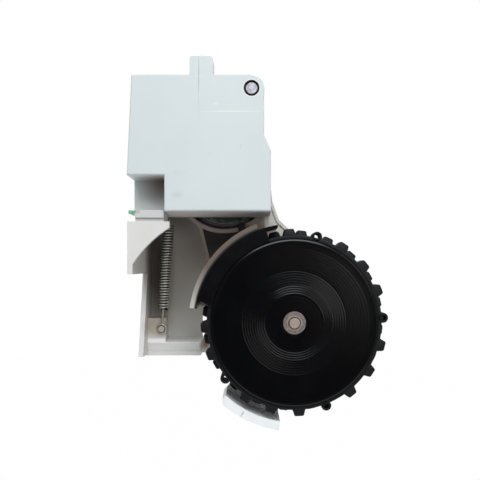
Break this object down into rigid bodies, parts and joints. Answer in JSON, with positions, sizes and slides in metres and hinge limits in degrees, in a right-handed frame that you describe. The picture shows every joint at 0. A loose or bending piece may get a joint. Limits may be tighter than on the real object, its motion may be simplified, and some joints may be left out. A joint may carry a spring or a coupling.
{
  "type": "robot vacuum wheel module",
  "caption": "Drive wheel module of a robot vacuum: sprung swing arm with geared motor and treaded wheel in a two-part housing with a screw-on back frame.",
  "frame": {"origin": "centre of the four chassis screw holes, on the seating face at the back of the frame", "axes": "+Y from the wheel's outer face into the chassis, along the wheel axle and the screws; +X towards the floor of the room; +Z towards the pivot end"},
  "size_m": [0.097, 0.055, 0.1426],
  "materials": {
    "cover_plastic": "satin moulded ABS, cool grey-white",
    "gearbox_plastic": "moulded ABS, warm grey",
    "black_plastic": "satin black moulding",
    "hub_plastic": "black, finely turned face",
    "tread_rubber": "black rubber",
    "stop_rubber": "black rubber",
    "pin_steel": "ground steel",
    "can_steel": "zinc-plated steel",
    "screw_steel": "black-zinc steel",
    "spring_steel": "oiled music wire",
    "gear_plastic": "natural acetal",
    "pinion_brass": "hobbed brass",
    "bush_bronze": "sintered bronze",
    "board_green": "green solder mask",
    "connector_plastic": "cream nylon"
  },
  "bodies": {
    "frame": {"frame_back": "cover_plastic", "housing_cover": "cover_plastic", "pivot_pin": "pin_steel", "cover_screws": "screw_steel", "bump_stop": "stop_rubber", "connector": "connector_plastic", "switch_board": "board_green", "tension_spring": "spring_steel"},
    "arm": {"arm_front": "cover_plastic", "arm_rear": "gearbox_plastic", "arm_panel": "black_plastic", "tread_guard": "black_plastic", "lead_grommet": "stop_rubber", "motor_can": "can_steel", "motor_cap": "black_plastic", "motor_board": "board_green", "motor_plate": "can_steel", "motor_screws": "screw_steel", "arm_screws": "screw_steel", "gear_pins": "pin_steel", "axle_bush_front": "bush_bronze", "axle_bush_rear": "bush_bronze"},
    "wheel": {"wheel_hub": "hub_plastic", "tyre": "tread_rubber", "wheel_axle": "pin_steel", "output_gear": "gear_plastic", "hub_washer": "pin_steel", "axle_clip": "pin_steel"},
    "gear_3": {"compound_gear_3": "gear_plastic"},
    "gear_2": {"compound_gear_2": "gear_plastic"},
    "gear_1": {"compound_gear_1": "gear_plastic"},
    "rotor": {"motor_shaft": "pin_steel", "motor_pinion": "pinion_brass"}
  },
  "joints": [
    {"name": "arm_swing", "type": "hinge", "parent": "frame", "child": "arm", "pos_m": [0.0231, -0.016, 0.0442], "axis": [0, 1, 0], "range_deg": [0, 12], "stiffness_Nm_per_rad": 0.6, "springref_deg": -28.65, "deforming": ["tension_spring"]},
    {"name": "wheel_spin", "type": "hinge", "parent": "arm", "child": "wheel", "pos_m": [0.039, -0.041, -0.042], "axis": [0, 1, 0], "continuous": true},
    {"name": "gear_3_spin", "type": "hinge", "parent": "arm", "child": "gear_3", "pos_m": [0.03493, -0.014, -0.02395], "axis": [0, 1, 0], "continuous": true},
    {"name": "gear_2_spin", "type": "hinge", "parent": "arm", "child": "gear_2", "pos_m": [0.02121, -0.014, -0.01409], "axis": [0, 1, 0], "continuous": true},
    {"name": "gear_1_spin", "type": "hinge", "parent": "arm", "child": "gear_1", "pos_m": [0.01794, -0.016, 0.00127], "axis": [0, 1, 0], "continuous": true},
    {"name": "motor_spin", "type": "hinge", "parent": "arm", "child": "rotor", "pos_m": [0.01198, -0.022, 0.01349], "axis": [0, 1, 0], "continuous": true}
  ],
  "couplings": [
    {"joint": "gear_3_spin", "follows": "wheel_spin", "ratio": -2.8333},
    {"joint": "gear_2_spin", "follows": "wheel_spin", "ratio": 9.0667},
    {"joint": "gear_1_spin", "follows": "wheel_spin", "ratio": -30.222},
    {"joint": "motor_spin", "follows": "wheel_spin", "ratio": 132.98}
  ]
}
